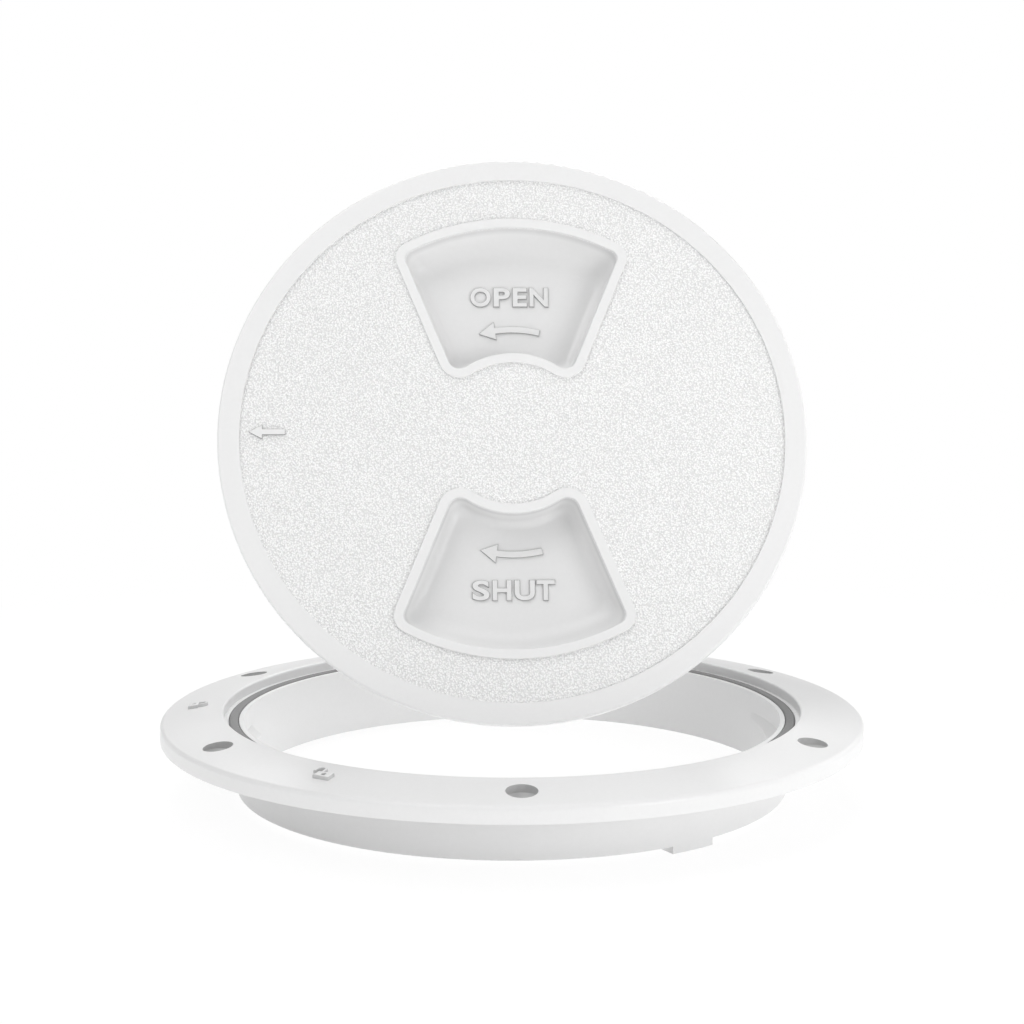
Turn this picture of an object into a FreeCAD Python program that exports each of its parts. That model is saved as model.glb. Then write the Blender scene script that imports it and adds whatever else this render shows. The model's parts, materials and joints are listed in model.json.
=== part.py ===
import FreeCAD, Part
import os
from math import cos, radians, sin, sqrt

# Twist-out deck inspection plate, with its lid taken off and held above the ring.
# Millimetres, +Z up. The origin is on the ring's axis, in the plane of the deck,
# which is the underside of the flange. -Y is the side that the reader stands on.
V = FreeCAD.Vector
Z_AXIS = V(0, 0, 1)

# Clear bore, the lid that covers it and the flange outside the lid
BORE_R = 75.1
LID_OVERLAP = 5.0
LID_SIDE_CLEARANCE = 0.5
FLANGE_WIDTH = 17.4
FLANGE_TOP = 6.8
EDGE_HEIGHT = 4.2
EDGE_ROUND = 1.2
BROW_ROUND = 0.5
DOME_RISE = 0.25

# Seat for the lid and groove for the seal
SEAT_DEPTH = 2.8
LIP_THICKNESS = 1.3
SEAL_WIDTH = 2.7
SEAL_HEIGHT = 2.2
SEAL_SIDE_CLEARANCE = 0.1
SEAL_PROUD = 0.3
SEAL_ROUND = 0.6

# Collar below the deck
COLLAR_DEPTH = 15.3
COLLAR_WALL = 2.1
COLLAR_FOOT_ROUND = 0.5

# Screw holes and the cored underside round them
SCREW_COUNT = 6
SCREW_INSET = 8.65
SCREW_FIRST_AZ = -90.0
SCREW_HOLE_R = 2.25
SCREW_HEAD_R = 3.95
SCREW_HEAD_SINK = 1.5
BOSS_R = 5.2
FLANGE_WALL = 2.4
FLANGE_RIM_WALL = 2.6
RIBS_PER_BAY = 1
RING_RIB_THICKNESS = 1.8

# Bayonet ramps inside the collar
RAMP_COUNT = 2
RAMP_START_AZ = 17.8
RAMP_LENGTH_DEG = 25.7
RAMP_LEAD_DEG = 16.0
RAMP_REACH = 2.5
RAMP_TIP_REACH = 0.15
RAMP_TOP_Z = -1.8
RAMP_NOSE = 0.8
RAMP_UNDER_Z = -4.7
RAMP_PITCH_DROP = 0.6
RAMP_STEPS = 10
RAMP_ROOT = 0.6

# Block inside the foot of the collar, which stops the lid at its open mark
STOP_FIRST_AZ = -60.0
STOP_LENGTH_DEG = 9.9
STOP_REACH = 6.0
STOP_DROP = 1.75
STOP_HEIGHT = 5.6

# Lid, in its own frame: the face is at z = 0 and +z points out of the face
RIM_THICKNESS = 2.6
RIM_ROUND = 0.7
RIM_WIDTH = 6.0
PANEL_DEPTH = 0.8
STEP_ROUND = 0.15
SKIRT_GAP = 0.7
SKIRT_WALL = 2.4
SKIRT_FOOT_CLEARANCE = 2.6
LUG_CLEARANCE = 0.4
LUG_LENGTH_DEG = 22.0
LUG_THICKNESS = 3.6
LUG_RAMP_GAP = 0.15
LUG_STEPS = 8
TOOTH_LENGTH_DEG = 4.0
TOOTH_REACH_DOWN = 5.0
OPEN_TURN_DEG = 57.0
STOP_GAP_DEG = 0.4

# Finger pockets, drawn for the upper one, on the +y side
POCKET_EDGE_INSET = 14.3
POCKET_INNER_R = 22.7
POCKET_SIDE_DEG = 22.0
POCKET_SIDE_OFFSET = 8.6
POCKET_OUTER_CORNER = 2.4
POCKET_INNER_CORNER = 3.2
POCKET_FRAME = 2.6
POCKET_DEPTH = 8.5
POCKET_SCOOP = 7.8
POCKET_INNER_TAPER = 0.3
POCKET_SIDE_TAPER = 1.2
POCKET_FLOOR_CORNER = 4.6
POCKET_FLOOR_ROUND = 2.4
POCKET_LEVELS = 8
POCKET_MOUTH_ROUND = 0.4
POCKET_WALL = 2.0

# Ribs under the lid
LID_RIB_COUNT = 8
LID_RIB_THICKNESS = 1.8
LID_RIB_HEIGHT = 4.5
HUB_R = 9.0
HUB_WALL = 2.0

# Where the lid is shown: leaning back, above the bore
LID_LEAN_DEG = 22.0
LID_HOVER = 2.2586
LID_FORWARD = 11.6

# Sizes that follow from those above
LID_R = BORE_R + LID_OVERLAP
SEAT_R = LID_R + LID_SIDE_CLEARANCE
FLANGE_R = SEAT_R + FLANGE_WIDTH
SCREW_CIRCLE_R = SEAT_R + SCREW_INSET
SEAT_Z = FLANGE_TOP - SEAT_DEPTH
LIP_R = BORE_R + LIP_THICKNESS
GROOVE_R = LIP_R + SEAL_WIDTH + 2 * SEAL_SIDE_CLEARANCE
SEAL_TOP_Z = SEAT_Z + SEAL_PROUD
GROOVE_Z = SEAL_TOP_Z - SEAL_HEIGHT
COLLAR_R = BORE_R + COLLAR_WALL
LID_FACE_Z = SEAL_TOP_Z + RIM_THICKNESS
SKIRT_R = BORE_R - RAMP_REACH - SKIRT_GAP
LUG_R = BORE_R - LUG_CLEARANCE
PANEL_R = LID_R - RIM_WIDTH
POCKET_OUTER_R = PANEL_R - POCKET_EDGE_INSET


def polar(radius, azimuth, z=0.0):
    angle = radians(azimuth)
    return V(radius * cos(angle), radius * sin(angle), z)


def polygon(points):
    return Part.makePolygon(points + points[:1])


def revolved(edges):
    return Part.Face(Part.Wire(edges)).revolve(V(0, 0, 0), Z_AXIS, 360)


def edge_chain(points):
    return [Part.makeLine(a, b) for a, b in zip(points, points[1:])]


def tube(outer_r, inner_r, z_low, z_high):
    height = z_high - z_low
    outside = Part.makeCylinder(outer_r, height, V(0, 0, z_low))
    return outside.cut(Part.makeCylinder(inner_r, height, V(0, 0, z_low)))


def edges_at_height(shape, z, radius):
    """The whole circles of this radius at this height."""
    found = []
    for edge in shape.Edges:
        curve = edge.Curve
        if isinstance(curve, Part.Circle) and abs(curve.Radius - radius) < 1e-4:
            if abs(curve.Center.z - z) < 1e-4:
                found.append(edge)
    return found


def edges_level_at(shape, z):
    """The edges whose ends both lie at this height."""
    return [edge for edge in shape.Edges
            if all(abs(vertex.Z - z) < 1e-4 for vertex in edge.Vertexes)]


def dome_z(radius):
    """Height of the sloped top of the flange at this radius."""
    share = (FLANGE_R - radius) / (FLANGE_R - SEAT_R)
    straight = EDGE_HEIGHT + share * (FLANGE_TOP - EDGE_HEIGHT)
    return straight + 4 * DOME_RISE * share * (1 - share)


def sector(inner_r, outer_r, first_az, length_deg, z_low, z_high):
    """A block bounded by two arcs about the axis."""
    middle = first_az + length_deg / 2
    last = first_az + length_deg
    inner = Part.Arc(polar(inner_r, first_az, z_low), polar(inner_r, middle, z_low),
                     polar(inner_r, last, z_low)).toShape()
    outer = Part.Arc(polar(outer_r, last, z_low), polar(outer_r, middle, z_low),
                     polar(outer_r, first_az, z_low)).toShape()
    last_side = Part.makeLine(polar(inner_r, last, z_low), polar(outer_r, last, z_low))
    first_side = Part.makeLine(polar(outer_r, first_az, z_low), polar(inner_r, first_az, z_low))
    face = Part.Face(Part.Wire([inner, last_side, outer, first_side]))
    return face.extrude(V(0, 0, z_high - z_low))


def ring_body():
    """Flange, seat, seal groove and collar, turned about the axis."""
    middle_r = (FLANGE_R + SEAT_R) / 2
    top = Part.Arc(V(FLANGE_R, 0, EDGE_HEIGHT), V(middle_r, 0, dome_z(middle_r)),
                   V(SEAT_R, 0, FLANGE_TOP)).toShape()
    inside = edge_chain([
        V(SEAT_R, 0, FLANGE_TOP),
        V(SEAT_R, 0, SEAT_Z),
        V(GROOVE_R, 0, SEAT_Z),
        V(GROOVE_R, 0, GROOVE_Z),
        V(LIP_R, 0, GROOVE_Z),
        V(LIP_R, 0, SEAT_Z),
        V(BORE_R, 0, SEAT_Z),
        V(BORE_R, 0, -COLLAR_DEPTH),
        V(COLLAR_R, 0, -COLLAR_DEPTH),
        V(COLLAR_R, 0, 0),
        V(FLANGE_R, 0, 0),
        V(FLANGE_R, 0, EDGE_HEIGHT),
    ])
    body = revolved([top] + inside)
    body = body.makeFillet(EDGE_ROUND, edges_at_height(body, EDGE_HEIGHT, FLANGE_R))
    body = body.makeFillet(BROW_ROUND, edges_at_height(body, FLANGE_TOP, SEAT_R))
    return body.makeFillet(COLLAR_FOOT_ROUND, edges_at_height(body, -COLLAR_DEPTH, COLLAR_R))


def screw_azimuths():
    return [SCREW_FIRST_AZ + index * 360 / SCREW_COUNT for index in range(SCREW_COUNT)]


def flange_core():
    """The hollow under the flange, with the screw bosses and ribs left standing in it."""
    inner_r = SEAT_R + FLANGE_WALL
    outer_r = FLANGE_R - FLANGE_RIM_WALL
    hollow = revolved(edge_chain([
        V(inner_r, 0, 0),
        V(outer_r, 0, 0),
        V(outer_r, 0, dome_z(outer_r) - FLANGE_WALL),
        V(inner_r, 0, dome_z(inner_r) - FLANGE_WALL),
        V(inner_r, 0, 0),
    ]))
    for azimuth in screw_azimuths():
        boss = Part.makeCylinder(BOSS_R, FLANGE_TOP, polar(SCREW_CIRCLE_R, azimuth))
        hollow = hollow.cut(boss)
        for index in range(RIBS_PER_BAY):
            between = azimuth + (index + 1) * 360 / SCREW_COUNT / (RIBS_PER_BAY + 1)
            rib = Part.makeBox(outer_r, RING_RIB_THICKNESS, FLANGE_TOP,
                               V(inner_r / 2, -RING_RIB_THICKNESS / 2, 0))
            rib.rotate(V(0, 0, 0), Z_AXIS, between)
            hollow = hollow.cut(rib)
    return hollow


def screw_hole(azimuth):
    """A clear hole up from the deck, a cone for a countersunk head and a straight sink above it."""
    place = polar(SCREW_CIRCLE_R, azimuth)
    cone_depth = SCREW_HEAD_R - SCREW_HOLE_R
    sink_z = dome_z(SCREW_CIRCLE_R) - SCREW_HEAD_SINK
    shank = Part.makeCylinder(SCREW_HOLE_R, FLANGE_TOP, place)
    cone = Part.makeCone(SCREW_HOLE_R, SCREW_HEAD_R, cone_depth, place + V(0, 0, sink_z - cone_depth))
    sink = Part.makeCylinder(SCREW_HEAD_R, FLANGE_TOP, place + V(0, 0, sink_z))
    return shank.multiFuse([cone, sink])


def ramp_drop(azimuth_past_start):
    """How far the underside of a ramp has come down, this many degrees past its start."""
    return RAMP_PITCH_DROP * azimuth_past_start / RAMP_LENGTH_DEG


def ramp_section(past_start, start_az):
    """Section of a bayonet ramp: a sloped top, a short nose and a flat underside."""
    azimuth = start_az - past_start
    lead_in = min(past_start / RAMP_LEAD_DEG, 1.0)
    reach = RAMP_TIP_REACH + (RAMP_REACH - RAMP_TIP_REACH) * lead_in
    root = BORE_R + RAMP_ROOT
    under = RAMP_UNDER_Z - ramp_drop(past_start)
    nose_r = BORE_R - reach
    return polygon([
        polar(root, azimuth, RAMP_TOP_Z),
        polar(BORE_R, azimuth, RAMP_TOP_Z),
        polar(nose_r, azimuth, under + RAMP_NOSE),
        polar(nose_r, azimuth, under),
        polar(root, azimuth, under),
    ])


def bayonet_ramp(start_az):
    stations = [RAMP_LENGTH_DEG * step / RAMP_STEPS for step in range(RAMP_STEPS + 1)]
    return Part.makeLoft([ramp_section(past, start_az) for past in stations], True, True)


def open_stop():
    low = -COLLAR_DEPTH - STOP_DROP
    return sector(COLLAR_R - STOP_REACH, COLLAR_R, STOP_FIRST_AZ, STOP_LENGTH_DEG,
                  low, low + STOP_HEIGHT)


def mounting_ring():
    ring = ring_body().cut(flange_core())
    for azimuth in screw_azimuths():
        ring = ring.cut(screw_hole(azimuth))
    for index in range(RAMP_COUNT):
        ring = ring.fuse(bayonet_ramp(RAMP_START_AZ + index * 360 / RAMP_COUNT))
    return ring.fuse(open_stop()).removeSplitter()


def seal():
    """Flat ring with a rounded top, lying on the floor of its groove."""
    inner_r = LIP_R + SEAL_SIDE_CLEARANCE
    outer_r = inner_r + SEAL_WIDTH
    ring = tube(outer_r, inner_r, GROOVE_Z, SEAL_TOP_Z)
    top = edges_at_height(ring, SEAL_TOP_Z, outer_r) + edges_at_height(ring, SEAL_TOP_Z, inner_r)
    return ring.makeFillet(SEAL_ROUND, top)


def pocket_corner(side, arc_r, corner_r, outwards, side_offset):
    """Arc that rounds the corner between a pocket's side and one of its curved ends.

    side is 1 on the right and -1 on the left. The arc is given from the side to the curved end.
    """
    angle = radians(POCKET_SIDE_DEG)
    along = V(side * sin(angle), cos(angle), 0)
    across = V(side * cos(angle), -sin(angle), 0)
    centre_r = arc_r - corner_r if outwards else arc_r + corner_r
    inset = side_offset - corner_r
    centre = across * inset + along * sqrt(centre_r ** 2 - inset ** 2)
    on_side = centre + across * corner_r
    on_arc = centre * (arc_r / centre_r)
    half_way = (on_side - centre) + (on_arc - centre)
    middle = centre + half_way.normalize() * corner_r
    return on_side, middle, on_arc


def pocket_outline(outer_growth, inner_growth, side_growth, outer_corner, inner_corner, z):
    """Closed outline of a pocket at height z, with its ends and sides moved out by these growths."""
    outer_r = POCKET_OUTER_R + outer_growth
    inner_r = POCKET_INNER_R - inner_growth
    side_offset = POCKET_SIDE_OFFSET + side_growth
    right_out = pocket_corner(1, outer_r, outer_corner, True, side_offset)
    right_in = pocket_corner(1, inner_r, inner_corner, False, side_offset)
    left_out = pocket_corner(-1, outer_r, outer_corner, True, side_offset)
    left_in = pocket_corner(-1, inner_r, inner_corner, False, side_offset)
    edges = [
        Part.Arc(left_out[2], V(0, outer_r, 0), right_out[2]).toShape(),
        Part.Arc(right_out[2], right_out[1], right_out[0]).toShape(),
        Part.makeLine(right_out[0], right_in[0]),
        Part.Arc(right_in[0], right_in[1], right_in[2]).toShape(),
        Part.Arc(right_in[2], V(0, inner_r, 0), left_in[2]).toShape(),
        Part.Arc(left_in[2], left_in[1], left_in[0]).toShape(),
        Part.makeLine(left_in[0], left_out[0]),
        Part.Arc(left_out[0], left_out[1], left_out[2]).toShape(),
    ]
    wire = Part.Wire(edges)
    wire.translate(V(0, 0, z))
    return wire


def pocket_level(turn_deg, wall):
    """Outline of a pocket partway down: its turn is 0 at the mouth and 90 at the floor.

    The outer end is a wide scoop that fingers slide down. The sides, and the inner end that
    fingers pull against, are steep and meet the floor in a small round.
    """
    share = sin(radians(turn_deg))
    depth = POCKET_DEPTH + wall
    floor_round = POCKET_FLOOR_ROUND + wall
    scooped = (POCKET_SCOOP + wall) * (1 - cos(radians(turn_deg)))
    into_round = max(0.0, 1 - (1 - share) * depth / floor_round)
    rounded = floor_round * (1 - sqrt(1 - into_round ** 2))
    outer_corner = POCKET_OUTER_CORNER + (POCKET_FLOOR_CORNER - POCKET_OUTER_CORNER) * share
    return pocket_outline(wall - scooped, wall - POCKET_INNER_TAPER * share - rounded,
                          wall - POCKET_SIDE_TAPER * share - rounded,
                          outer_corner + wall, POCKET_INNER_CORNER + wall, -depth * share)


def pocket_bowl(wall):
    """The hollow of a pocket, or the same grown by a wall."""
    turns = [90 * step / POCKET_LEVELS for step in range(POCKET_LEVELS + 1)]
    return Part.makeLoft([pocket_level(turn, wall) for turn in turns], True)


def both_pockets(shape):
    """A shape drawn for the upper pocket, and the same turned to the lower one."""
    other = shape.copy()
    other.rotate(V(0, 0, 0), Z_AXIS, 180)
    return [shape, other]


def lid_disc():
    """Rim and sunk panel, with the pocket frames left level with the rim."""
    disc = Part.makeCylinder(LID_R, RIM_THICKNESS, V(0, 0, -RIM_THICKNESS))
    disc = disc.makeFillet(RIM_ROUND, edges_at_height(disc, 0, LID_R))
    disc = disc.cut(Part.makeCylinder(PANEL_R, PANEL_DEPTH, V(0, 0, -PANEL_DEPTH)))
    disc = disc.makeFillet(STEP_ROUND, edges_at_height(disc, 0, PANEL_R))
    frame = Part.Face(pocket_outline(POCKET_FRAME, POCKET_FRAME, POCKET_FRAME,
                                     POCKET_OUTER_CORNER + POCKET_FRAME,
                                     POCKET_INNER_CORNER + POCKET_FRAME, -RIM_THICKNESS))
    frame = frame.extrude(V(0, 0, RIM_THICKNESS))
    frame = frame.makeFillet(STEP_ROUND, edges_level_at(frame, 0))
    return disc.multiFuse(both_pockets(frame))


def skirt_foot_z():
    """The skirt ends above the stop block when the lid is in its seat."""
    stop_top = -COLLAR_DEPTH - STOP_DROP + STOP_HEIGHT
    return stop_top + SKIRT_FOOT_CLEARANCE - LID_FACE_Z


def lug_section(past_start, start_az):
    """Section of a lug, whose top follows the underside of the ramp that it slides under."""
    azimuth = start_az - past_start
    ramp_past = RAMP_LENGTH_DEG / 2 - LUG_LENGTH_DEG / 2 + past_start
    top = RAMP_UNDER_Z - ramp_drop(ramp_past) - LUG_RAMP_GAP - LID_FACE_Z
    foot = RAMP_UNDER_Z - RAMP_PITCH_DROP - LUG_THICKNESS - LID_FACE_Z
    root = SKIRT_R - SKIRT_WALL / 2
    return polygon([
        polar(root, azimuth, top),
        polar(LUG_R, azimuth, top),
        polar(LUG_R, azimuth, foot),
        polar(root, azimuth, foot),
    ])


def lid_lug(start_az):
    stations = [LUG_LENGTH_DEG * step / LUG_STEPS for step in range(LUG_STEPS + 1)]
    return Part.makeLoft([lug_section(past, start_az) for past in stations], True, True)


def stop_tooth():
    """Tooth below the skirt, which meets the stop block when the lid reaches its open mark."""
    last_az = STOP_FIRST_AZ - STOP_GAP_DEG - OPEN_TURN_DEG
    foot = skirt_foot_z() - TOOTH_REACH_DOWN
    return sector(SKIRT_R - SKIRT_WALL, LUG_R, last_az - TOOTH_LENGTH_DEG, TOOTH_LENGTH_DEG,
                  foot, skirt_foot_z() + TOOTH_REACH_DOWN)


def lid_ribs():
    """Hub and spokes under the panel, out to the skirt."""
    low = -RIM_THICKNESS - LID_RIB_HEIGHT
    parts = [tube(HUB_R, HUB_R - HUB_WALL, low, -RIM_THICKNESS)]
    length = SKIRT_R - SKIRT_WALL / 2 - (HUB_R - HUB_WALL / 2)
    for index in range(LID_RIB_COUNT):
        rib = Part.makeBox(length, LID_RIB_THICKNESS, LID_RIB_HEIGHT,
                           V(HUB_R - HUB_WALL / 2, -LID_RIB_THICKNESS / 2, low))
        rib.rotate(V(0, 0, 0), Z_AXIS, index * 360 / LID_RIB_COUNT)
        parts.append(rib)
    return parts


def pocket_mouth_edges(lid):
    """The edges round the mouths of the pockets."""
    mouths = both_pockets(pocket_outline(0, 0, 0, POCKET_OUTER_CORNER, POCKET_INNER_CORNER, 0))
    return [edge for edge in edges_level_at(lid, 0)
            if any(mouth.distToShape(edge)[0] < 1e-3 for mouth in mouths)]


def lid_in_own_frame():
    lid = lid_disc()
    skirt = tube(SKIRT_R, SKIRT_R - SKIRT_WALL, skirt_foot_z(), -RIM_THICKNESS)
    additions = [skirt, stop_tooth()] + lid_ribs()
    lug_start = RAMP_START_AZ - RAMP_LENGTH_DEG / 2 + LUG_LENGTH_DEG / 2
    for index in range(RAMP_COUNT):
        additions.append(lid_lug(lug_start + index * 360 / RAMP_COUNT))
    additions += both_pockets(pocket_bowl(POCKET_WALL))
    lid = lid.multiFuse(additions)
    for hollow in both_pockets(pocket_bowl(0)):
        lid = lid.cut(hollow)
    lid = lid.removeSplitter()
    return lid.makeFillet(POCKET_MOUTH_ROUND, pocket_mouth_edges(lid))


def lid_centre():
    """Centre of the lid's face, which puts the rim's lowest corner just above the flange."""
    lean = radians(LID_LEAN_DEG)
    drop = LID_R * cos(lean) + RIM_THICKNESS * sin(lean)
    return V(0, -LID_FORWARD, FLANGE_TOP + LID_HOVER + drop)


def lid():
    """The lid where it is shown, leaning back from the reader."""
    shape = lid_in_own_frame()
    shape.rotate(V(0, 0, 0), V(1, 0, 0), 90 - LID_LEAN_DEG)
    shape.translate(lid_centre())
    return shape


def main():
    os.makedirs("parts", exist_ok=True)
    nodes = {"mounting_ring": mounting_ring(), "seal": seal(), "lid": lid()}
    for name, shape in nodes.items():
        solids = shape.Solids
        print(name, "solids", len(solids), "valid", shape.isValid(),
              "volume", round(shape.Volume), "box", shape.BoundBox)
        (solids[0] if len(solids) == 1 else shape).exportStep("parts/" + name + ".step")


main()
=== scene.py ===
import json
import math

import bmesh
import bpy
from mathutils import Matrix, Vector
from mathutils.bvhtree import BVHTree
from mathutils.kdtree import KDTree


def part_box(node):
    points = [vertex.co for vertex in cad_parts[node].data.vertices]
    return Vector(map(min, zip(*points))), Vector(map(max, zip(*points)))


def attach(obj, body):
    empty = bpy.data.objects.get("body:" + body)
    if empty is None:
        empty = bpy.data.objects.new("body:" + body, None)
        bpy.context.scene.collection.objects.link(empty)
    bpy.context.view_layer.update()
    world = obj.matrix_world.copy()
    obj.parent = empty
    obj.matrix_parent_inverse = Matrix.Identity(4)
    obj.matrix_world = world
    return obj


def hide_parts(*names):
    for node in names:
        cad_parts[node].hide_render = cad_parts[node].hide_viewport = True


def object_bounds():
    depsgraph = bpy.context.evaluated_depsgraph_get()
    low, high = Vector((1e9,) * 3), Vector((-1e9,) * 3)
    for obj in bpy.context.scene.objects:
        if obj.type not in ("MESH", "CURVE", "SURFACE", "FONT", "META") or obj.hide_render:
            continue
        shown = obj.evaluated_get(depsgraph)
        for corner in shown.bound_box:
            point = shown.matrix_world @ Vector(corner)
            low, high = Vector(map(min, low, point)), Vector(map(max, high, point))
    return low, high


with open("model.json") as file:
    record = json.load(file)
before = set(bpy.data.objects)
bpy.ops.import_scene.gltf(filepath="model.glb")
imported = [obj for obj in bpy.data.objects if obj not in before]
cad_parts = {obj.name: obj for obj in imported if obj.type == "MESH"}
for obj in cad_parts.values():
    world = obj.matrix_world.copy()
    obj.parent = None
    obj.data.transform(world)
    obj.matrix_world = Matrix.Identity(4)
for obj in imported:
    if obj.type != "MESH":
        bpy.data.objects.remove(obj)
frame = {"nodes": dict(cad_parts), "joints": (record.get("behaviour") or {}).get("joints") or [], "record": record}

# A round deck inspection plate: a white moulded ring with a dark seal in its seat, and a twist-out
# lid with two finger pockets, shown lifted off and leaning back over the ring.
# Metres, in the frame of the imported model. The lid also has a frame of its own: x across its
# face, y up its face and z out of it, with the centre of the face as origin.

MM = 0.001
cad_low, cad_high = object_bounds()
scene = bpy.context.scene

# Where the lid is, from its twist joint
twist = frame["joints"][0]
LID_CENTRE = Vector(twist["pos_m"])
LID_OUT = Vector(twist["axis"]).normalized()
LID_ACROSS = Vector((1, 0, 0))
LID_UP = LID_OUT.cross(LID_ACROSS)
LID_TURN = Matrix((LID_ACROSS, LID_UP, LID_OUT)).transposed()
LID_PLACE = Matrix.Translation(LID_CENTRE) @ LID_TURN.to_4x4()

# Levels on the lid's face, out of the face
PANEL_LEVEL = -0.8 * MM
POCKET_FLOOR_LEVEL = -8.5 * MM

# Signs: how far they stand above the surface that carries them, and how far they run into it
SIGN_RISE = 0.6 * MM
SIGN_EDGE = 0.2 * MM
SIGN_SINK = 0.35 * MM
# A sign's face is its top where it is turned less than this, as a cosine, from the surface; the rest of it carries
# painted shade
SIGN_TOP = 0.95
SIGN_MERGE = 0.002 * MM

# Words and arrows in the pockets
WORD_HEIGHT = 5.75 * MM
WORD_BOLDER = 0.25 * MM
OPEN_UP = 41.95 * MM
SHUT_UP = -42.2 * MM
# Where each letter starts and ends across the lid, in millimetres
OPEN_LETTERS = ((-11.5, -5.6), (-5.0, -0.1), (0.4, 4.6), (5.1, 10.5))
SHUT_LETTERS = ((-11.35, -6.45), (-5.85, -0.55), (0.1, 5.8), (6.0, 11.2))
ARROW_R = 32.3 * MM
ARROW_TIP_DEG = 16.3
ARROW_NECK_DEG = 8.0
ARROW_TAIL_DEG = 14.1
ARROW_HEAD_HALF = 2.7 * MM
ARROW_SHAFT_HALF = 0.93 * MM

# Pointer on the panel
POINTER_TIP = -71.7 * MM
POINTER_NECK = -67.9 * MM
POINTER_TAIL = -61.7 * MM
POINTER_UP = 0.3 * MM
POINTER_HEAD_HALF = 2.05 * MM
POINTER_SHAFT_HALF = 0.8 * MM

# Padlock marks on the flange
MARK_R = 88.3 * MM
MARK_RISE = 0.9 * MM
CLOSED_MARK_AZ = 179.3
OPEN_MARK_AZ = -122.3
PADLOCK_HEIGHT = 5.3 * MM
LOCK_BODY_HEIGHT = 2.7 * MM
LOCK_BODY_WIDTH = 4.6 * MM
KEYHOLE_R = 0.55 * MM
SHACKLE_R = 1.2 * MM
SHACKLE_BAR = 0.7 * MM
SHACKLE_ROOT = 0.2 * MM
SHACKLE_SWUNG_LEG = 1.2 * MM

# The seal: how round its corners are, and how many steps go round it and round a corner
SEAL_CORNER = 0.6 * MM
SEAL_STEPS = 256
SEAL_CORNER_STEPS = 5

# Edges that turn by more than this are sharp
SIGN_CREASE_DEG = 30
SEAL_CREASE_DEG = 50

# Screw holes: the first one's place round the ring, and how wide their sunk heads are, which is also how far the
# painted shade on their walls reaches
FIRST_HOLE_TURN = -math.pi / 2
SCREW_HEAD_R = 3.98 * MM

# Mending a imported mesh: corners this near are one, and a corner's shading that is turned further
# than this from its face (as a cosine) is wrong
MERGE = 0.001 * MM
WRONG_SHADE = 0.7

# Tones of grey that each material moves between
RING_TONES = (0.785, 0.805)
# The walls of the screw holes: a dark tone that is painted shade
SCREW_HOLE_SHADE_TONES = (0.50, 0.54)
LID_TONES = (0.84, 0.82)
# The panel: a light tone on the pebbles' tops and a dark one in their valleys, which are painted light and painted
# shade
PANEL_TONES = (0.99, 0.79)
# The edges of the signs on the lid: a dark tone that is painted shade
SIGN_EDGE_SHADE_TONES = (0.34, 0.40)
# The edges of the padlock marks: a darker tone that is painted shade
MARK_EDGE_SHADE_TONES = (0.56, 0.62)
RUBBER_TONES = (0.19, 0.23)

# The skin of the mouldings: the grains of their orange peel to a metre, how far these stand up,
# and the lowest and highest roughness
PEEL_SCALE = 900.0
PEEL_RISE = 0.006 * MM
PLASTIC_ROUGH = (0.29, 0.36)
PLASTIC_IOR = 1.46
RUBBER_SCALE = 1600.0
RUBBER_RISE = 0.03 * MM
RUBBER_ROUGH = (0.62, 0.74)

# Grain of the panel: the pitch of its pebbles, how far they stand up and are pushed out of line,
# and where, in pitches from a pebble's middle, its valley starts and is deepest, which sets its painted shade
PEBBLE_PITCH = 0.5 * MM
PEBBLE_RISE = 0.25 * MM
PEBBLE_DRIFT = 0.1 * MM
VALLEY_FROM = 0.3
VALLEY_TO = 0.62
# What lies this near to the panel's level is panel, and it is rougher by this much
PANEL_BAND = 0.12 * MM
PANEL_ROUGHER = 0.14

# Painted shade of the lid, counted in steps from the first of its tones to the second. It grows between
# two depths below the face, as little light gets down into the pockets.
DEEP_FROM = -1.5 * MM
DEEP_TO = -6.5 * MM
DEEP_SHADE = 2.6
# The painted shade also grows round one level, which is that of the steps and upper walls inside the rim
STEP_LEVEL = -1.9 * MM
STEP_HALF = 1.8 * MM
STEP_REACH = 78 * MM
STEP_SHADE = 7.0

# Soft square lamps: name, degrees round from the front, degrees up, distance, size, watts
LAMP_AIM = Vector((0, 0, 0.06))
LAMPS = (
    ("right_front_low", 40, 2, 0.7, 0.3, 1.38),
    ("right_side", 95, 15, 1.5, 1.0, 2.5),
    ("right_back", 125, 25, 1.5, 1.0, 4.1),
    ("left_high", -45, 55, 1.5, 1.0, 7.3),
    ("overhead", 0, 88, 1.5, 1.0, 4.5),
    ("back_high", 180, 45, 1.5, 1.0, 9.1),
)
DAYLIGHT = 0.37

# The floor: its radius, its gap below the object, and its tone and glow as the object sees them.
# The camera sees it this white as far out as FLOOR_SHADE_R, and all white three times as far out.
FLOOR_R = 6.0
FLOOR_GAP = 0.05 * MM
FLOOR_TONE = 0.97
FLOOR_GLOW = 0.22
FLOOR_SHADE_R = 0.12
FLOOR_NEAR_WHITE = 0.9

# Camera, as the picture was taken: the product stands turned a little to the camera
LENS = 68.58
SENSOR = 36.0
CAMERA_PITCH_DEG = 7.35
CAMERA_TURN_DEG = 1.5
CAMERA_DISTANCE = 0.53956
CAMERA_HEIGHT = 0.1305


def link_object(obj):
    scene.collection.objects.link(obj)
    return obj


def piece_from_bmesh(name, mesh_data, material):
    """A finished piece: its place is in its mesh, and its object sits at the origin."""
    mesh = bpy.data.meshes.new(name)
    mesh_data.to_mesh(mesh)
    mesh_data.free()
    mesh.materials.append(material)
    return link_object(bpy.data.objects.new(name, mesh))


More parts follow.
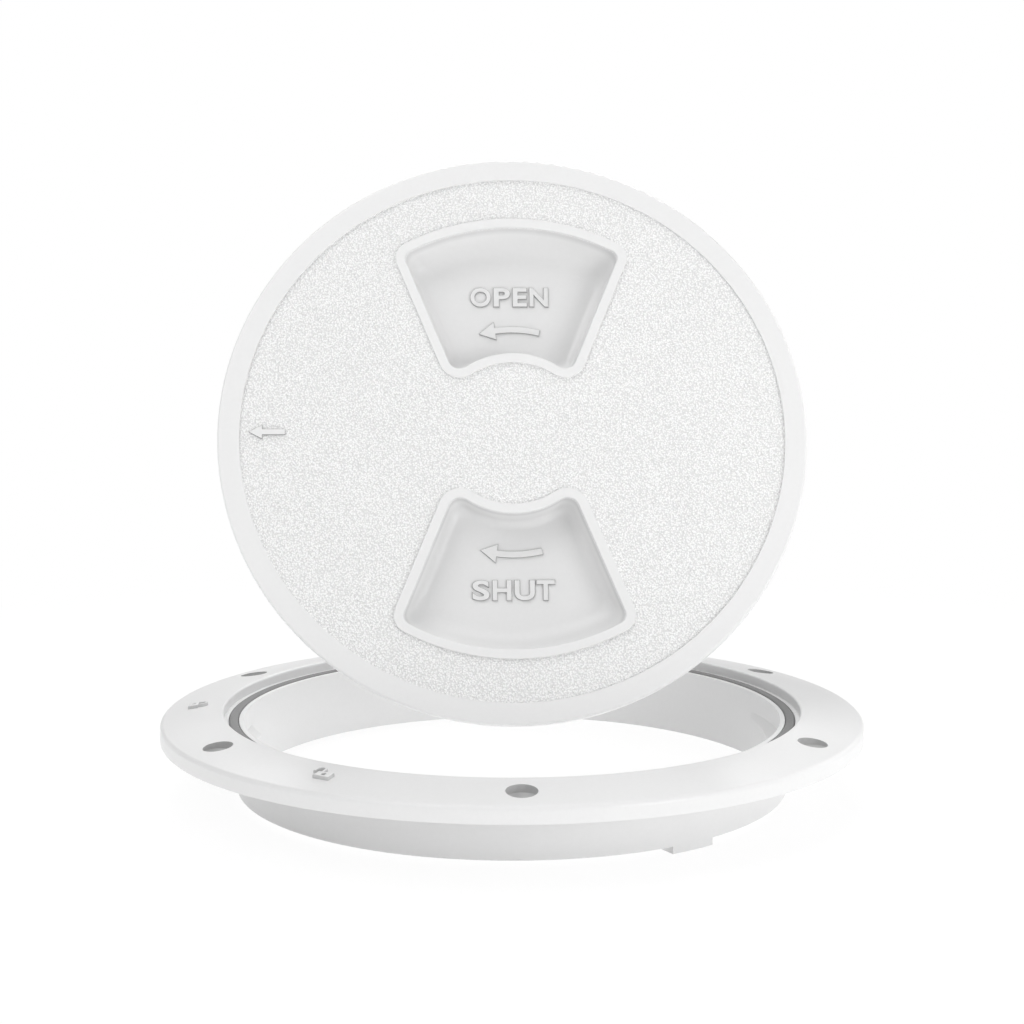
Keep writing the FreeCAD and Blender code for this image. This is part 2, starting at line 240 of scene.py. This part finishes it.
def smooth_with_sharp_edges(mesh_data, angle_deg):
    """Smooth shading, apart from the edges that turn by more than this."""
    limit = math.radians(angle_deg)
    for face in mesh_data.faces:
        face.smooth = True
    for edge in mesh_data.edges:
        edge.smooth = len(edge.link_faces) == 2 and edge.calc_face_angle(0.0) < limit


# Materials

def new_material(name):
    material = bpy.data.materials.new(name)
    material.use_nodes = True
    nodes = material.node_tree.nodes
    return material, nodes, material.node_tree.links, nodes["Principled BSDF"]


def object_coordinates(nodes, links, place=None):
    """Object coordinates, turned and centred into the lid's own frame if a place is given."""
    source = nodes.new("ShaderNodeTexCoord")
    mapping = nodes.new("ShaderNodeMapping")
    mapping.vector_type = "TEXTURE"
    if place is not None:
        mapping.inputs["Location"].default_value = place.to_translation()
        mapping.inputs["Rotation"].default_value = place.to_euler()
    links.new(source.outputs["Object"], mapping.inputs["Vector"])
    return mapping.outputs["Vector"]


def math_node(nodes, links, operation, first, second=None, third=None):
    node = nodes.new("ShaderNodeMath")
    node.operation = operation
    for index, value in enumerate((first, second, third)):
        if value is None:
            continue
        if isinstance(value, (int, float)):
            node.inputs[index].default_value = value
        else:
            links.new(value, node.inputs[index])
    return node.outputs[0]


def share_between(nodes, links, value, first, last):
    """0 where the value is the first one, 1 where it is the last one, and even between them."""
    node = nodes.new("ShaderNodeMapRange")
    node.inputs["From Min"].default_value = first
    node.inputs["From Max"].default_value = last
    links.new(value, node.inputs["Value"])
    return node.outputs["Result"]


def length_of(nodes, links, vector):
    node = nodes.new("ShaderNodeVectorMath")
    node.operation = "LENGTH"
    links.new(vector, node.inputs[0])
    return node.outputs["Value"]


def distance_from(nodes, links, value, level):
    off = math_node(nodes, links, "SUBTRACT", value, level)
    return math_node(nodes, links, "ABSOLUTE", off)


def skin_group():
    """The skin of a moulded plastic part: a faint orange peel, and gloss that varies a little."""
    group = bpy.data.node_groups.new("moulded_skin", "ShaderNodeTree")
    face = group.interface
    face.new_socket("Vector", in_out="INPUT", socket_type="NodeSocketVector")
    face.new_socket("Peel Scale", in_out="INPUT", socket_type="NodeSocketFloat")
    face.new_socket("Rough Low", in_out="INPUT", socket_type="NodeSocketFloat")
    face.new_socket("Rough High", in_out="INPUT", socket_type="NodeSocketFloat")
    face.new_socket("Height", in_out="OUTPUT", socket_type="NodeSocketFloat")
    face.new_socket("Roughness", in_out="OUTPUT", socket_type="NodeSocketFloat")
    face.new_socket("Shade", in_out="OUTPUT", socket_type="NodeSocketFloat")
    nodes, links = group.nodes, group.links
    given = nodes.new("NodeGroupInput")
    result = nodes.new("NodeGroupOutput")
    peel = nodes.new("ShaderNodeTexNoise")
    peel.inputs["Detail"].default_value = 3.0
    links.new(given.outputs["Vector"], peel.inputs["Vector"])
    links.new(given.outputs["Peel Scale"], peel.inputs["Scale"])
    flow = nodes.new("ShaderNodeTexNoise")
    flow.inputs["Scale"].default_value = 22.0
    flow.inputs["Detail"].default_value = 2.0
    links.new(given.outputs["Vector"], flow.inputs["Vector"])
    spread = nodes.new("ShaderNodeMapRange")
    links.new(flow.outputs["Fac"], spread.inputs["Value"])
    spread.inputs["From Min"].default_value = 0.3
    spread.inputs["From Max"].default_value = 0.7
    links.new(given.outputs["Rough Low"], spread.inputs["To Min"])
    links.new(given.outputs["Rough High"], spread.inputs["To Max"])
    links.new(peel.outputs["Fac"], result.inputs["Height"])
    links.new(spread.outputs["Result"], result.inputs["Roughness"])
    # the shade follows the flow of the plastic, broken up by the peel
    shade = math_node(nodes, links, "MULTIPLY_ADD", peel.outputs["Fac"], 1.4, flow.outputs["Fac"])
    shade = math_node(nodes, links, "SUBTRACT", shade, 0.7)
    links.new(shade, result.inputs["Shade"])
    return group


def add_skin(nodes, links, group, vector, peel_scale=PEEL_SCALE, rough=PLASTIC_ROUGH):
    """Places the skin group in a material. Without sizes of its own it is the mouldings' skin."""
    node = nodes.new("ShaderNodeGroup")
    node.node_tree = group
    links.new(vector, node.inputs["Vector"])
    node.inputs["Peel Scale"].default_value = peel_scale
    node.inputs["Rough Low"].default_value, node.inputs["Rough High"].default_value = rough
    return node.outputs


def add_bump(nodes, links, shader, height, rise):
    bump = nodes.new("ShaderNodeBump")
    bump.inputs["Strength"].default_value = 1.0
    bump.inputs["Distance"].default_value = rise
    links.new(height, bump.inputs["Height"])
    links.new(bump.outputs["Normal"], shader.inputs["Normal"])


def tinted(nodes, links, factor, tones):
    """A grey that moves between two near tones, or on past the second one."""
    first, second = tones
    mix = nodes.new("ShaderNodeMix")
    mix.data_type = "RGBA"
    mix.clamp_factor = False
    mix.inputs[6].default_value = (first, first, first, 1)
    mix.inputs[7].default_value = (second, second, second, 1)
    links.new(factor, mix.inputs["Factor"])
    return mix.outputs[2]


def moulded_plastic(name, skin, tones):
    """A smooth moulded plastic between two tones."""
    material, nodes, links, shader = new_material(name)
    surface = add_skin(nodes, links, skin, object_coordinates(nodes, links))
    links.new(tinted(nodes, links, surface["Shade"], tones), shader.inputs["Base Color"])
    links.new(surface["Roughness"], shader.inputs["Roughness"])
    add_bump(nodes, links, shader, surface["Height"], PEEL_RISE)
    shader.inputs["IOR"].default_value = PLASTIC_IOR
    return material


def pebble_group():
    """A leather-like grain of rounded pebbles, pushed out of line: their height, and their valleys for painted
    shade.
    """
    group = bpy.data.node_groups.new("pebbled_grain", "ShaderNodeTree")
    face = group.interface
    face.new_socket("Vector", in_out="INPUT", socket_type="NodeSocketVector")
    face.new_socket("Pitch", in_out="INPUT", socket_type="NodeSocketFloat")
    face.new_socket("Drift", in_out="INPUT", socket_type="NodeSocketFloat")
    face.new_socket("Height", in_out="OUTPUT", socket_type="NodeSocketFloat")
    face.new_socket("Valley Shade", in_out="OUTPUT", socket_type="NodeSocketFloat")
    nodes, links = group.nodes, group.links
    given = nodes.new("NodeGroupInput").outputs
    result = nodes.new("NodeGroupOutput")
    per_metre = math_node(nodes, links, "DIVIDE", 1.0, given["Pitch"])
    drift = nodes.new("ShaderNodeTexNoise")
    drift.inputs["Detail"].default_value = 1.0
    links.new(given["Vector"], drift.inputs["Vector"])
    links.new(per_metre, drift.inputs["Scale"])
    centred = nodes.new("ShaderNodeVectorMath")
    centred.operation = "SUBTRACT"
    centred.inputs[1].default_value = (0.5, 0.5, 0.5)
    links.new(drift.outputs["Color"], centred.inputs[0])
    pushed = nodes.new("ShaderNodeVectorMath")
    pushed.operation = "SCALE"
    links.new(centred.outputs["Vector"], pushed.inputs[0])
    links.new(given["Drift"], pushed.inputs["Scale"])
    moved = nodes.new("ShaderNodeVectorMath")
    links.new(given["Vector"], moved.inputs[0])
    links.new(pushed.outputs["Vector"], moved.inputs[1])
    cells = nodes.new("ShaderNodeTexVoronoi")
    cells.feature = "F1"
    links.new(moved.outputs["Vector"], cells.inputs["Vector"])
    links.new(per_metre, cells.inputs["Scale"])
    rounded = math_node(nodes, links, "POWER", cells.outputs["Distance"], 1.6)
    height = math_node(nodes, links, "SUBTRACT", 1.0, rounded)
    links.new(height, result.inputs["Height"])
    valley = share_between(nodes, links, cells.outputs["Distance"], VALLEY_FROM, VALLEY_TO)
    links.new(valley, result.inputs["Valley Shade"])
    return group


def lid_plastic(skin):
    """Smooth on the rim, frames and pockets, with a fine pebbled grain on the sunk panel, painted shade in the
    pockets and round the steps, and painted light and shade on the grain.
    """
    material, nodes, links, shader = new_material("pebbled_lid_plastic")
    place = object_coordinates(nodes, links, LID_PLACE)
    surface = add_skin(nodes, links, skin, place)
    parts = nodes.new("ShaderNodeSeparateXYZ")
    links.new(place, parts.inputs["Vector"])
    level = parts.outputs["Z"]
    off_panel = distance_from(nodes, links, level, PANEL_LEVEL)
    on_panel = math_node(nodes, links, "LESS_THAN", off_panel, PANEL_BAND)

    pebbles = nodes.new("ShaderNodeGroup")
    pebbles.node_tree = pebble_group()
    links.new(place, pebbles.inputs["Vector"])
    pebbles.inputs["Pitch"].default_value = PEBBLE_PITCH
    pebbles.inputs["Drift"].default_value = PEBBLE_DRIFT
    grain = math_node(nodes, links, "MULTIPLY", pebbles.outputs["Height"], on_panel)
    height = math_node(nodes, links, "MULTIPLY_ADD", grain, PEBBLE_RISE / PEEL_RISE,
                       surface["Height"])
    add_bump(nodes, links, shader, height, PEEL_RISE)

    # Painted shade: darker with depth into the pockets, and round the level of the steps inside the rim
    deep = share_between(nodes, links, level, DEEP_FROM, DEEP_TO)
    shade = math_node(nodes, links, "MULTIPLY_ADD", deep, DEEP_SHADE, surface["Shade"])
    off_step = distance_from(nodes, links, level, STEP_LEVEL)
    step = share_between(nodes, links, off_step, STEP_HALF, 0.0)
    inside = math_node(nodes, links, "LESS_THAN", length_of(nodes, links, place), STEP_REACH)
    step = math_node(nodes, links, "MULTIPLY", step, inside)
    shade = math_node(nodes, links, "MULTIPLY_ADD", step, STEP_SHADE, shade)

    colour = nodes.new("ShaderNodeMix")
    colour.data_type = "RGBA"
    links.new(on_panel, colour.inputs["Factor"])
    links.new(tinted(nodes, links, shade, LID_TONES), colour.inputs[6])
    # Painted light on the pebbles' tops and painted shade in their valleys
    links.new(tinted(nodes, links, pebbles.outputs["Valley Shade"], PANEL_TONES), colour.inputs[7])
    links.new(colour.outputs[2], shader.inputs["Base Color"])
    rougher = math_node(nodes, links, "MULTIPLY_ADD", on_panel, PANEL_ROUGHER, surface["Roughness"])
    links.new(rougher, shader.inputs["Roughness"])
    shader.inputs["IOR"].default_value = PLASTIC_IOR
    return material


def grey_rubber(skin):
    """The seal's matt rubber."""
    material, nodes, links, shader = new_material("grey_rubber")
    place = object_coordinates(nodes, links)
    surface = add_skin(nodes, links, skin, place, RUBBER_SCALE, RUBBER_ROUGH)
    links.new(tinted(nodes, links, surface["Shade"], RUBBER_TONES), shader.inputs["Base Color"])
    links.new(surface["Roughness"], shader.inputs["Roughness"])
    add_bump(nodes, links, shader, surface["Height"], RUBBER_RISE)
    return material


def plain_glow(nodes, strength):
    glow = nodes.new("ShaderNodeEmission")
    glow.inputs["Color"].default_value = (1, 1, 1, 1)
    glow.inputs["Strength"].default_value = strength
    return glow.outputs["Emission"]


def floor_material():
    """A white floor to the camera, with a trace of the object's shadow that fades out round it.

    The light from below the object comes from a matt floor with a faint glow.
    """
    material, nodes, links, shader = new_material("white_floor")
    nodes.remove(shader)
    matt = nodes.new("ShaderNodeBsdfDiffuse")
    matt.inputs["Color"].default_value = (FLOOR_TONE, FLOOR_TONE, FLOOR_TONE, 1)
    lit = nodes.new("ShaderNodeAddShader")
    links.new(matt.outputs["BSDF"], lit.inputs[0])
    links.new(plain_glow(nodes, FLOOR_GLOW), lit.inputs[1])
    rays = nodes.new("ShaderNodeLightPath").outputs
    seen = math_node(nodes, links, "MAXIMUM", rays["Is Camera Ray"], rays["Is Glossy Ray"])
    away = length_of(nodes, links, object_coordinates(nodes, links))
    far = share_between(nodes, links, away, FLOOR_SHADE_R, 3 * FLOOR_SHADE_R)
    white = math_node(nodes, links, "MULTIPLY_ADD", far, 1 - FLOOR_NEAR_WHITE, FLOOR_NEAR_WHITE)
    mix = nodes.new("ShaderNodeMixShader")
    links.new(math_node(nodes, links, "MULTIPLY", seen, white), mix.inputs["Fac"])
    links.new(lit.outputs["Shader"], mix.inputs[1])
    links.new(plain_glow(nodes, 1.0), mix.inputs[2])
    links.new(mix.outputs["Shader"], nodes["Material Output"].inputs["Surface"])
    return material


# The ring

def mended_copy(name, node, material):
    """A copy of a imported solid's mesh, merged, without the thin splinters that shade it wrongly."""
    source = frame["nodes"][node].data
    spots = KDTree(len(source.loops))
    for corner in source.loops:
        spots.insert(source.vertices[corner.vertex_index].co, corner.index)
    spots.balance()
    shape = bmesh.new()
    shape.from_mesh(source)
    bmesh.ops.remove_doubles(shape, verts=shape.verts, dist=MERGE)
    bmesh.ops.dissolve_degenerate(shape, edges=shape.edges, dist=MERGE)
    for face in shape.faces:
        face.smooth = True
    piece = piece_from_bmesh(name, shape, material)
    normals = []
    for face in piece.data.polygons:
        for vertex in face.vertices:
            spot = piece.data.vertices[vertex].co
            near = [source.corner_normals[index].vector
                    for _, index, _ in spots.find_range(spot, 2 * MERGE)]
            best = max(near, key=face.normal.dot, default=face.normal)
            normals.append(best if best.dot(face.normal) > WRONG_SHADE else face.normal)
    piece.data.normals_split_custom_set(normals)
    return piece


def add_ring(material, hole_shade_material):
    """The flanged ring. The walls of its screw holes, deep and narrow, have a darker tone, which is painted shade.
    """
    ring = mended_copy("flanged_ring", "mounting_ring", material)
    ring.data.materials.append(hole_shade_material)
    mounts = {mount["name"]: mount["dims"] for mount in frame["record"]["mounts"]}
    holes = mounts["screw_circle"]
    step = 2 * math.pi / holes["count"]
    for face in ring.data.polygons:
        turn = math.atan2(face.center.y, face.center.x) - FIRST_HOLE_TURN
        turn = round(turn / step) * step + FIRST_HOLE_TURN
        axis = Vector((math.cos(turn), math.sin(turn))) * holes["pcd_mm"] / 2 * MM
        corners = [ring.data.vertices[vertex].co.xy for vertex in face.vertices]
        if all((corner - axis).length < SCREW_HEAD_R for corner in corners):
            face.material_index = 1
    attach(ring, "ring")
    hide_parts("mounting_ring")


# Signs: plain raised words, arrows and padlocks

def flat_shape(outlines):
    """Closed flat outlines as one filled curve. An outline inside another one is a hole."""
    curve = bpy.data.curves.new("shape", "CURVE")
    curve.dimensions = "2D"
    curve.fill_mode = "BOTH"
    for points in outlines:
        spline = curve.splines.new("POLY")
        spline.points.add(len(points) - 1)
        for point, (x, y) in zip(spline.points, points):
            point.co = (x, y, 0, 1)
        spline.use_cyclic_u = True
    return curve


def flat_letter(letter):
    """A letter as a filled curve, thickened to a bold one."""
    text = bpy.data.curves.new("letter", "FONT")
    text.body = letter
    text.size = WORD_HEIGHT
    text.offset = WORD_BOLDER
    return text


def raised(curve, rise=SIGN_RISE):
    """A flat curve as a mesh, from a little below the surface that carries it to above it."""
    curve.extrude = (rise + SIGN_SINK) / 2 - SIGN_EDGE
    curve.bevel_depth = SIGN_EDGE
    curve.bevel_resolution = 2
    curve.offset -= SIGN_EDGE
    holder = link_object(bpy.data.objects.new("holder", curve))
    mesh = bpy.data.meshes.new_from_object(holder)
    bpy.data.objects.remove(holder)
    mesh.transform(Matrix.Translation((0, 0, (rise - SIGN_SINK) / 2)))
    return mesh


def fitted(mesh, centre, width, height):
    """Scales a flat sign to this width and height, and centres it."""
    xs = [vertex.co.x for vertex in mesh.vertices]
    ys = [vertex.co.y for vertex in mesh.vertices]
    stretch = Matrix.Diagonal((width / (max(xs) - min(xs)), height / (max(ys) - min(ys)), 1, 1))
    middle = Vector(((max(xs) + min(xs)) / 2, (max(ys) + min(ys)) / 2, 0))
    mesh.transform(Matrix.Translation((*centre, 0)) @ stretch @ Matrix.Translation(-middle))


def raised_word(word, spans, height):
    """A word of separate raised letters, each one between its own start and end."""
    whole = bmesh.new()
    for letter, (start, end) in zip(word, spans):
        mesh = raised(flat_letter(letter))
        fitted(mesh, ((start + end) / 2 * MM, height), (end - start) * MM, WORD_HEIGHT)
        whole.from_mesh(mesh)
        bpy.data.meshes.remove(mesh)
    mesh = bpy.data.meshes.new("word")
    whole.to_mesh(mesh)
    whole.free()
    return mesh


def finish_sign(name, mesh, finish, body, up):
    """Joins a sign's seams, and gives its edges the darker of the two materials, which is painted shade."""
    plain, edge_shade = finish
    shape = bmesh.new()
    shape.from_mesh(mesh)
    bpy.data.meshes.remove(mesh)
    bmesh.ops.remove_doubles(shape, verts=shape.verts, dist=SIGN_MERGE)
    bmesh.ops.recalc_face_normals(shape, faces=shape.faces)
    for face in shape.faces:
        face.material_index = int(face.normal.dot(up) < SIGN_TOP)
    smooth_with_sharp_edges(shape, SIGN_CREASE_DEG)
    sign = piece_from_bmesh(name, shape, plain)
    sign.data.materials.append(edge_shade)
    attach(sign, body)


def lid_sign(name, mesh, level, finish):
    """A sign drawn in the lid's own frame, standing on the face at this level."""
    mesh.transform(LID_PLACE @ Matrix.Translation((0, 0, level)))
    finish_sign(name, mesh, finish, "lid", LID_OUT)


def flange_sign(name, mesh, azimuth_deg, flange, finish):
    """A sign drawn upright about the origin, laid on the flange with its top towards the bore."""
    azimuth = math.radians(azimuth_deg)
    spot = Vector((MARK_R * math.cos(azimuth), MARK_R * math.sin(azimuth), 0))
    mesh.transform(Matrix.Translation(spot) @ Matrix.Rotation(azimuth + math.pi / 2, 4, "Z"))
    for vertex in mesh.vertices:
        above = Vector((vertex.co.x, vertex.co.y, 1.0))
        vertex.co.z += flange.ray_cast(above, Vector((0, 0, -1)))[0].z
    finish_sign(name, mesh, finish, "ring", Vector((0, 0, 1)))


def arc(centre, radius, first_deg, last_deg, steps):
    """Points on an arc, with angles counted from +x."""
    x, y = centre
    points = []
    for step in range(steps + 1):
        turn = math.radians(first_deg + (last_deg - first_deg) * step / steps)
        points.append((x + radius * math.cos(turn), y + radius * math.sin(turn)))
    return points


def curved_arrow(side):
    """An arrow that bends round the lid's centre and points left, above it or below it."""
    def on_arc(radius, turn_deg):
        turn = math.radians(turn_deg)
        return radius * math.cos(turn), radius * math.sin(turn)

    middle = 90 * side
    neck = middle + side * ARROW_NECK_DEG
    tail = middle - side * ARROW_TAIL_DEG
    point = on_arc(ARROW_R, middle + side * ARROW_TIP_DEG)
    head_out = on_arc(ARROW_R + ARROW_HEAD_HALF, neck)
    head_in = on_arc(ARROW_R - ARROW_HEAD_HALF, neck)
    outside = arc((0, 0), ARROW_R + ARROW_SHAFT_HALF, neck, tail, 12)
    inside = arc((0, 0), ARROW_R - ARROW_SHAFT_HALF, tail, neck, 12)
    return [[point, head_out, *outside, *inside, head_in]]


def pointer():
    """The straight arrow on the panel that is read against the marks on the flange."""
    half = [(POINTER_TIP, 0), (POINTER_NECK, POINTER_HEAD_HALF),
            (POINTER_NECK, POINTER_SHAFT_HALF), (POINTER_TAIL, POINTER_SHAFT_HALF)]
    outline = half + [(x, -y) for x, y in reversed(half) if y]
    return [[(x, y + POINTER_UP) for x, y in outline]]


def padlock(opened):
    """The outlines of an upright padlock round the origin: a body with a keyhole, and a shackle."""
    low = -PADLOCK_HEIGHT / 2
    top = low + LOCK_BODY_HEIGHT
    half = LOCK_BODY_WIDTH / 2
    body = [(-half, low), (half, low), (half, top), (-half, top)]
    keyhole = arc((0, (low + top) / 2), KEYHOLE_R, 0, 337.5, 15)
    out_r = SHACKLE_R + SHACKLE_BAR / 2
    in_r = SHACKLE_R - SHACKLE_BAR / 2
    bend = PADLOCK_HEIGHT / 2 - out_r
    shift = -2 * SHACKLE_R if opened else 0.0
    swung_foot = bend - SHACKLE_SWUNG_LEG if opened else top - SHACKLE_ROOT
    shackle = [(shift + out_r, top - SHACKLE_ROOT), *arc((shift, bend), out_r, 0, 180, 14),
               (shift - out_r, swung_foot), (shift - in_r, swung_foot),
               *arc((shift, bend), in_r, 180, 0, 14), (shift + in_r, top - SHACKLE_ROOT)]
    return [body, keyhole], [shackle]


def add_signs(lid_sign_materials, ring_sign_materials):
    """The words, arrows and pointer on the lid, and the two padlocks on the flange."""
    for word, spans, up, side in (("OPEN", OPEN_LETTERS, OPEN_UP, 1),
                                  ("SHUT", SHUT_LETTERS, SHUT_UP, -1)):
        name = word.lower()
        letters = raised_word(word, spans, up)
        lid_sign(name + "_word", letters, POCKET_FLOOR_LEVEL, lid_sign_materials)
        arrow = raised(flat_shape(curved_arrow(side)))
        lid_sign(name + "_arrow", arrow, POCKET_FLOOR_LEVEL, lid_sign_materials)
    lid_sign("pointer", raised(flat_shape(pointer())), PANEL_LEVEL, lid_sign_materials)
    ring = frame["nodes"]["mounting_ring"].data
    flange = BVHTree.FromPolygons([vertex.co for vertex in ring.vertices],
                                  [face.vertices for face in ring.polygons])
    marks = ("closed", False, CLOSED_MARK_AZ), ("open", True, OPEN_MARK_AZ)
    for name, opened, azimuth in marks:
        for part, outlines in zip(("body", "shackle"), padlock(opened)):
            mesh = raised(flat_shape(outlines), MARK_RISE)
            flange_sign(f"{name}_padlock_{part}", mesh, azimuth, flange, ring_sign_materials)


# The seal, swept round its groove

def seal_tree(material):
    """A rounded section swept round a circle."""
    tree = bpy.data.node_groups.new("swept_seal", "GeometryNodeTree")
    face = tree.interface
    for name in ("Radius", "Width", "Height", "Corner", "Level"):
        face.new_socket(name, in_out="INPUT", socket_type="NodeSocketFloat")
    face.new_socket("Geometry", in_out="OUTPUT", socket_type="NodeSocketGeometry")
    nodes, links = tree.nodes, tree.links
    given = nodes.new("NodeGroupInput").outputs
    circle = nodes.new("GeometryNodeCurvePrimitiveCircle")
    circle.inputs["Resolution"].default_value = SEAL_STEPS
    links.new(given["Radius"], circle.inputs["Radius"])
    section = nodes.new("GeometryNodeCurvePrimitiveQuadrilateral")
    links.new(given["Width"], section.inputs["Width"])
    links.new(given["Height"], section.inputs["Height"])
    corners = nodes.new("GeometryNodeFilletCurve")
    corners.mode = "POLY"
    corners.inputs["Count"].default_value = SEAL_CORNER_STEPS
    links.new(section.outputs["Curve"], corners.inputs["Curve"])
    links.new(given["Corner"], corners.inputs["Radius"])
    sweep = nodes.new("GeometryNodeCurveToMesh")
    links.new(circle.outputs["Curve"], sweep.inputs["Curve"])
    links.new(corners.outputs["Curve"], sweep.inputs["Profile Curve"])
    lift = nodes.new("ShaderNodeCombineXYZ")
    links.new(given["Level"], lift.inputs["Z"])
    placed = nodes.new("GeometryNodeTransform")
    links.new(sweep.outputs["Mesh"], placed.inputs["Geometry"])
    links.new(lift.outputs["Vector"], placed.inputs["Translation"])
    real = nodes.new("GeometryNodeRealizeInstances")
    links.new(placed.outputs["Geometry"], real.inputs["Geometry"])
    finish = nodes.new("GeometryNodeSetMaterial")
    finish.inputs["Material"].default_value = material
    links.new(real.outputs["Geometry"], finish.inputs["Geometry"])
    result = nodes.new("NodeGroupOutput")
    links.new(finish.outputs["Geometry"], result.inputs["Geometry"])
    return tree


def grown_piece(name, tree, sizes):
    """The mesh that a node tree makes with these sizes, as a plain piece."""
    holder = link_object(bpy.data.objects.new("holder", bpy.data.meshes.new("empty")))
    modifier = holder.modifiers.new("grow", "NODES")
    modifier.node_group = tree
    sockets = {item.name: item.identifier
               for item in tree.interface.items_tree if item.in_out == "INPUT"}
    for size, value in sizes.items():
        modifier[sockets[size]] = value
    depsgraph = bpy.context.evaluated_depsgraph_get()
    mesh = bpy.data.meshes.new_from_object(holder.evaluated_get(depsgraph))
    holder.modifiers.remove(modifier)
    bpy.data.objects.remove(holder)
    mesh.name = name
    return link_object(bpy.data.objects.new(name, mesh))


def add_seal(material):
    """The seal as the CAD places it, with rounded corners."""
    low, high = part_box("seal")
    across = [vertex.co.xy.length for vertex in frame["nodes"]["seal"].data.vertices]
    inner_r, outer_r = min(across), max(across)
    seal = grown_piece("soft_seal", seal_tree(material), {
        "Radius": (inner_r + outer_r) / 2,
        "Width": outer_r - inner_r,
        "Height": high.z - low.z,
        "Corner": SEAL_CORNER,
        "Level": (low.z + high.z) / 2,
    })
    shape = bmesh.new()
    shape.from_mesh(seal.data)
    bmesh.ops.recalc_face_normals(shape, faces=shape.faces)
    smooth_with_sharp_edges(shape, SEAL_CREASE_DEG)
    shape.to_mesh(seal.data)
    shape.free()
    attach(seal, "ring")
    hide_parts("seal")


# Camera, floor and lights

def add_camera():
    data = bpy.data.cameras.new("camera")
    data.lens = LENS
    data.sensor_width = SENSOR
    data.clip_start = 0.01
    data.clip_end = 50.0
    camera = link_object(bpy.data.objects.new("camera", data))
    turn = math.radians(CAMERA_TURN_DEG)
    camera.location = (-CAMERA_DISTANCE * math.sin(turn), -CAMERA_DISTANCE * math.cos(turn),
                       CAMERA_HEIGHT)
    camera.rotation_euler = (math.radians(90 - CAMERA_PITCH_DEG), 0, -turn)
    scene.camera = camera


def add_floor():
    """A round floor just below the lowest point of the ring."""
    mesh_data = bmesh.new()
    bmesh.ops.create_circle(mesh_data, cap_ends=True, segments=64, radius=FLOOR_R,
                            matrix=Matrix.Translation((0, 0, cad_low.z - FLOOR_GAP)))
    floor = piece_from_bmesh("floor", mesh_data, floor_material())


def add_lamp(name, round_deg, up_deg, distance, size, power):
    """A soft square lamp that faces the object, this far round from the front and this far up."""
    data = bpy.data.lights.new(name, "AREA")
    data.shape = "SQUARE"
    data.size = size
    data.energy = power
    lamp = link_object(bpy.data.objects.new(name, data))
    lamp.visible_camera = False
    around, up = math.radians(round_deg), math.radians(up_deg)
    out = Vector((math.sin(around) * math.cos(up), -math.cos(around) * math.cos(up),
                  math.sin(up)))
    lamp.location = LAMP_AIM + distance * out
    lamp.rotation_euler = (-out).to_track_quat("-Z", "Y").to_euler()


def add_world(daylight):
    """White to the camera, and a soft even light on the object."""
    world = bpy.data.worlds.new("studio")
    scene.world = world
    world.use_nodes = True
    nodes, links = world.node_tree.nodes, world.node_tree.links
    light = nodes["Background"]
    light.inputs["Strength"].default_value = daylight
    shown = nodes.new("ShaderNodeBackground")
    shown.inputs["Strength"].default_value = 1.0
    for background in (light, shown):
        background.inputs["Color"].default_value = (1, 1, 1, 1)
    rays = nodes.new("ShaderNodeLightPath")
    mix = nodes.new("ShaderNodeMixShader")
    links.new(rays.outputs["Is Camera Ray"], mix.inputs["Fac"])
    links.new(light.outputs["Background"], mix.inputs[1])
    links.new(shown.outputs["Background"], mix.inputs[2])
    links.new(mix.outputs["Shader"], nodes["World Output"].inputs["Surface"])


def dress_lid(material):
    """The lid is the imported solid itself, with its own plastic."""
    lid = frame["nodes"]["lid"]
    lid.data.materials.clear()
    lid.data.materials.append(material)


skin = skin_group()
ring_plastic = moulded_plastic("white_moulded_plastic", skin, RING_TONES)
# Painted shade on the edges of the signs on the lid
sign_edge_shade = moulded_plastic("sign_edge_shade", skin, SIGN_EDGE_SHADE_TONES)
# Painted shade on the edges of the padlock marks
mark_edge_shade = moulded_plastic("mark_edge_shade", skin, MARK_EDGE_SHADE_TONES)
# Painted shade for the walls of the screw holes
screw_hole_shade = moulded_plastic("screw_hole_shade", skin, SCREW_HOLE_SHADE_TONES)
pebbled_plastic = lid_plastic(skin)
add_ring(ring_plastic, screw_hole_shade)
dress_lid(pebbled_plastic)
add_seal(grey_rubber(skin))
add_signs((pebbled_plastic, sign_edge_shade), (ring_plastic, mark_edge_shade))

add_camera()
add_floor()
for lamp in LAMPS:
    add_lamp(*lamp)
add_world(DAYLIGHT)
scene.view_settings.view_transform = "Standard"
